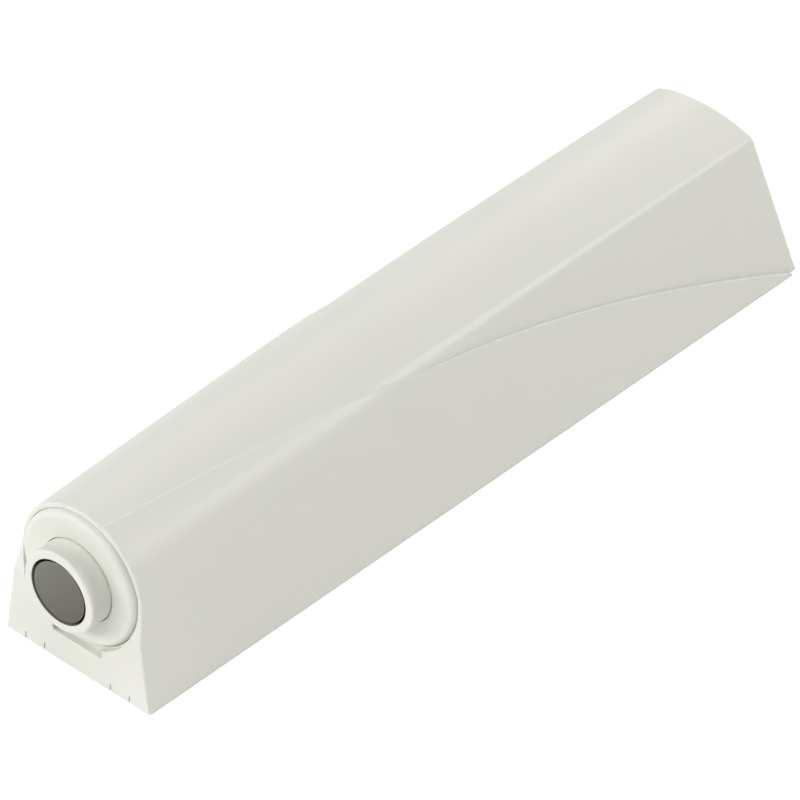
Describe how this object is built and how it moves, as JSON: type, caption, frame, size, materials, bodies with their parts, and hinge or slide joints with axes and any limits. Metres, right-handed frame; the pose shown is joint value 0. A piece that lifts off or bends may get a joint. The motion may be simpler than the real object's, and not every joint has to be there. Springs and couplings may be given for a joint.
{
  "type": "touch latch",
  "caption": "Push-to-open latch: a screw-on housing holds a sprung, magnet-tipped plunger that latches when pressed in and runs out at the next press.",
  "frame": {"origin": "on the mounting face, midway between the two screw holes", "axes": "+Z away from the mounting face, +Y from the magnet end to the leaning rear end, +X across the housing"},
  "size_m": [0.0186, 0.093, 0.0185],
  "materials": {
    "housing_plastic": "satin",
    "plate_plastic": "satin",
    "sleeve_plastic": "satin",
    "guide_plastic": "smooth",
    "cap_plastic": "smooth",
    "spring_steel": "drawn",
    "rod_plastic": "satin",
    "head_plastic": "satin",
    "magnet_ferrite": "satin",
    "pole_steel": "rolled",
    "rotor_plastic": "smooth"
  },
  "bodies": {
    "housing": {"housing": "housing_plastic", "mounting_plate": "plate_plastic", "cartridge_sleeve": "sleeve_plastic", "guide_sleeve": "guide_plastic", "end_cap": "cap_plastic", "main_spring": "spring_steel"},
    "plunger": {"plunger_rod": "rod_plastic", "plunger_head": "head_plastic", "magnet": "magnet_ferrite", "pole_plate": "pole_steel"},
    "rotor": {"index_rotor": "rotor_plastic"}
  },
  "joints": [
    {"name": "plunger_slide", "type": "slide", "parent": "housing", "child": "plunger", "axis": [0, -1, 0], "range_m": [-0.002, 0.037], "deforming": ["main_spring"]},
    {"name": "rotor_turn", "type": "hinge", "parent": "plunger", "child": "rotor", "pos_m": [0, 0.007, 0.0105], "axis": [0, -1, 0], "continuous": true}
  ]
}
